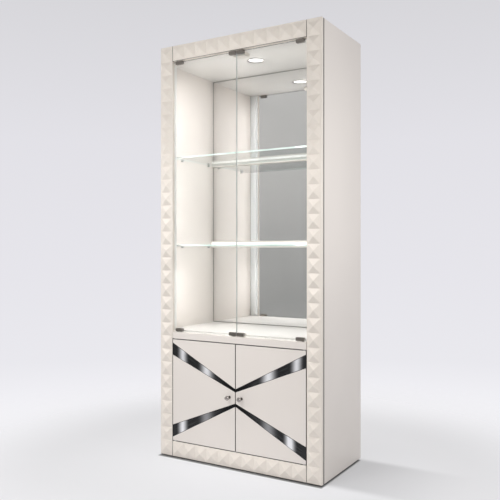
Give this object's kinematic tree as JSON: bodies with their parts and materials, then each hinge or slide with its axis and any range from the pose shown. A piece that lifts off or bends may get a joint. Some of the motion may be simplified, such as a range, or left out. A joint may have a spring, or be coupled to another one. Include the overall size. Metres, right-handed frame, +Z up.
{
  "type": "glass display cabinet",
  "caption": "Tall cream lacquered display cabinet with a pyramid-studded frame, glass doors over lit glass shelves and a mirror, and a cupboard with dark metal bands below.",
  "frame": {"origin": "on the floor, under the middle of the object's bounding box", "axes": "+Z up, -Y towards the front with the doors, +X to the viewer's right"},
  "size_m": [0.89, 0.49, 2.05],
  "materials": {
    "carcass_lacquer": "cream satin lacquer on board",
    "frame_lacquer": "cream satin lacquer on cut studs",
    "door_lacquer": "cream satin lacquer on board",
    "inside_lacquer": "cream satin lacquer, lit from inside",
    "back_board": "plain matt foil on thin board",
    "beech": "bare beech",
    "door_glass": "clear polished glass",
    "shelf_glass": "clear glass with green polished edges",
    "mirror_silver": "silvered mirror",
    "dark_metal": "dark brushed steel",
    "inlay_metal": "gunmetal brushed plate",
    "chrome": "polished chrome",
    "steel": "plain bright steel",
    "aluminium": "satin white aluminium",
    "opal": "lit opal plastic",
    "lens": "lit frosted plastic",
    "white_plastic": "matt cream plastic",
    "black_plastic": "matt black plastic",
    "nylon": "natural nylon",
    "rubber": "soft clear rubber"
  },
  "bodies": {
    "cabinet": {"left_side_panel": "carcass_lacquer", "right_side_panel": "carcass_lacquer", "top_panel": "carcass_lacquer", "ceiling_panel": "inside_lacquer", "display_floor": "inside_lacquer", "bottom_panel": "carcass_lacquer", "back_panel": "back_board", "mirror_panel": "mirror_silver", "left_stile": "frame_lacquer", "right_stile": "frame_lacquer", "top_rail": "frame_lacquer", "mid_rail": "door_lacquer", "bottom_rail": "frame_lacquer", "rear_plinth": "carcass_lacquer", "corner_blocks": "beech", "levelling_feet": "black_plastic", "carcass_dowels": "beech", "cupboard_shelf": "carcass_lacquer", "cupboard_shelf_pins": "steel", "lower_glass_shelf": "shelf_glass", "upper_glass_shelf": "shelf_glass", "glass_shelf_pins": "steel", "glass_shelf_pads": "rubber", "shelf_light_bars": "aluminium", "shelf_light_diffusers": "opal", "strip_channels": "aluminium", "strip_diffusers": "opal", "downlight_bezel": "chrome", "downlight_lens": "lens", "downlight_can": "aluminium", "led_driver": "white_plastic", "cable_grommet": "black_plastic", "glass_pivot_bushes": "nylon", "door_pivot_bushes": "nylon", "touch_latch_body": "white_plastic", "magnet_stops": "white_plastic", "door_catch": "white_plastic"},
    "left_glass_door": {"left_glass_pane": "door_glass", "left_pivot_clamps": "dark_metal", "left_strike_clips": "dark_metal", "left_clamp_gaskets": "rubber", "left_clamp_screws": "steel"},
    "left_plunger": {"left_latch_plunger": "steel"},
    "left_door": {"left_door_panel": "door_lacquer", "left_door_inlays": "inlay_metal", "left_door_knob": "chrome", "left_door_pivot_pins": "steel", "left_door_strike": "steel"},
    "right_glass_door": {"right_glass_pane": "door_glass", "right_pivot_clamps": "dark_metal", "right_strike_clips": "dark_metal", "right_clamp_gaskets": "rubber", "right_clamp_screws": "steel"},
    "right_plunger": {"right_latch_plunger": "steel"},
    "right_door": {"right_door_panel": "door_lacquer", "right_door_inlays": "inlay_metal", "right_door_knob": "chrome", "right_door_pivot_pins": "steel", "right_door_strike": "steel"}
  },
  "joints": [
    {"name": "left_glass_door_swing", "type": "hinge", "parent": "cabinet", "child": "left_glass_door", "pos_m": [-0.348, -0.199, 1.29975], "axis": [0, 0, -1], "range_deg": [0, 110]},
    {"name": "left_door_swing", "type": "hinge", "parent": "cabinet", "child": "left_door", "pos_m": [-0.357, -0.20304, 0.3365], "axis": [0, 0, -1], "range_deg": [0, 105]},
    {"name": "left_plunger_slide", "type": "slide", "parent": "cabinet", "child": "left_plunger", "axis": [0, -1, 0], "range_m": [0, 0.012]},
    {"name": "right_glass_door_swing", "type": "hinge", "parent": "cabinet", "child": "right_glass_door", "pos_m": [0.348, -0.199, 1.29975], "axis": [0, 0, 1], "range_deg": [0, 110]},
    {"name": "right_door_swing", "type": "hinge", "parent": "cabinet", "child": "right_door", "pos_m": [0.357, -0.20304, 0.3365], "axis": [0, 0, 1], "range_deg": [0, 105]},
    {"name": "right_plunger_slide", "type": "slide", "parent": "cabinet", "child": "right_plunger", "axis": [0, -1, 0], "range_m": [0, 0.012]}
  ],
  "couplings": [
    {"joint": "left_plunger_slide", "follows": "left_glass_door_swing", "m_per_rad": 0.00625},
    {"joint": "right_plunger_slide", "follows": "right_glass_door_swing", "m_per_rad": 0.00625}
  ]
}
